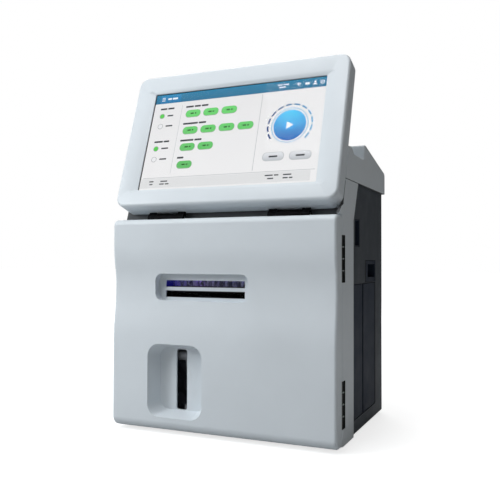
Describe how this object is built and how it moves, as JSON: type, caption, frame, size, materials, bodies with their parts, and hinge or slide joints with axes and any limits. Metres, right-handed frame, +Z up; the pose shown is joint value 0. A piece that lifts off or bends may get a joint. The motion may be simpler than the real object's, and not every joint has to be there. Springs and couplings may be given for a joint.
{
  "type": "blood gas analyzer",
  "caption": "Bench-top blood gas analyzer: boxy cabinet with a hinged front door, a sampling port with a swing-out probe, and a tilting touch display above it.",
  "frame": {"origin": "on the bench plane, under the centre of the outer box", "axes": "+X to the right of a person facing the display, +Y to the back, +Z up"},
  "size_m": [0.276, 0.226, 0.4313],
  "materials": {
    "shell_light": "fine satin texture",
    "door_light": "fine satin texture",
    "panel_dark": "satin powder coat",
    "hatch_dark": "satin",
    "black_plastic": "satin",
    "grey_plastic": "satin",
    "steel": "brushed",
    "zinc_sheet": "plain sheet",
    "bright_metal": "polished",
    "magnet": "plated",
    "rubber": "matt",
    "soft_tube": "translucent satin",
    "glass": "clear, polished",
    "lens": "clear, polished",
    "lcd": "lit screen",
    "board": "solder mask",
    "electrode": "moulded",
    "lamp": "lit strip",
    "sensor_grey": "satin",
    "pump_grey": "satin",
    "pack_white": "satin moulded",
    "psu_metal": "plain sheet"
  },
  "bodies": {
    "cabinet": {"front_frame": "shell_light", "top_cover": "shell_light", "side_panel_right": "panel_dark", "side_panel_left": "panel_dark", "rear_panel": "panel_dark", "side_cover_plate": "hatch_dark", "hatch_pull_cup": "hatch_dark", "port_cup": "hatch_dark", "usb_ports": "bright_metal", "rear_screws": "steel", "base_tray": "zinc_sheet", "feet": "rubber", "body_hinge_leaf_lower": "black_plastic", "body_hinge_leaf_upper": "black_plastic", "door_hinge_pins": "steel", "door_keeper_plates": "steel", "tilt_hinge_bases": "black_plastic", "bulkhead": "zinc_sheet", "sensor_housing": "sensor_grey", "sensor_electrodes": "electrode", "sensor_lamp": "lamp", "flow_cell": "lens", "pump_housing": "pump_grey", "pump_motor": "steel", "pump_tube": "soft_tube", "probe_bracket": "grey_plastic", "probe_pin": "steel", "wash_cup": "grey_plastic", "pack_bay": "black_plastic", "reagent_pack": "pack_white", "power_supply": "psu_metal", "main_board": "board", "power_inlet": "black_plastic", "switch_body": "black_plastic", "network_port": "bright_metal", "fan_frame": "black_plastic"},
    "door": {"door_shell": "door_light", "door_slot_lens": "lens", "door_hinge_arm_lower": "black_plastic", "door_hinge_arm_upper": "black_plastic", "door_magnets": "magnet"},
    "head": {"head_bezel": "shell_light", "head_back_cover": "shell_light", "touch_glass": "glass", "lcd_panel": "lcd", "display_chassis": "zinc_sheet", "display_board": "board", "head_screws": "steel", "tilt_hinge_arms": "black_plastic", "tilt_hinge_pins": "steel"},
    "hatch": {"side_hatch": "hatch_dark"},
    "probe": {"probe_carrier": "pack_white", "sample_probe": "bright_metal"},
    "pump_head": {"pump_rotor": "black_plastic", "pump_rollers": "pack_white", "pump_shaft": "steel"},
    "fan_wheel": {"fan_rotor": "black_plastic"},
    "power_rocker": {"switch_rocker": "black_plastic"}
  },
  "joints": [
    {"name": "door_hinge", "type": "hinge", "parent": "cabinet", "child": "door", "pos_m": [0.132, -0.0885, 0.1246], "axis": [0, 0, 1], "range_deg": [0, 90]},
    {"name": "head_tilt", "type": "hinge", "parent": "cabinet", "child": "head", "pos_m": [0, -0.0904, 0.2505], "axis": [1, 0, 0], "range_deg": [0, 18.45]},
    {"name": "hatch_hinge", "type": "hinge", "parent": "cabinet", "child": "hatch", "pos_m": [0.133, 0.0366, 0.0213], "axis": [0, 1, 0], "range_deg": [0, 90]},
    {"name": "probe_swing", "type": "hinge", "parent": "cabinet", "child": "probe", "pos_m": [-0.0513, -0.081, 0.088], "axis": [-1, 0, 0], "range_deg": [0, 60]},
    {"name": "pump_spin", "type": "hinge", "parent": "cabinet", "child": "pump_head", "pos_m": [0.084, -0.065, 0.164], "axis": [0, 1, 0], "continuous": true},
    {"name": "fan_spin", "type": "hinge", "parent": "cabinet", "child": "fan_wheel", "pos_m": [-0.062, 0.096, 0.2], "axis": [0, 1, 0], "continuous": true},
    {"name": "power_switch", "type": "hinge", "parent": "cabinet", "child": "power_rocker", "pos_m": [0.108, 0.1025, 0.038], "axis": [1, 0, 0], "range_deg": [0, 18]}
  ]
}
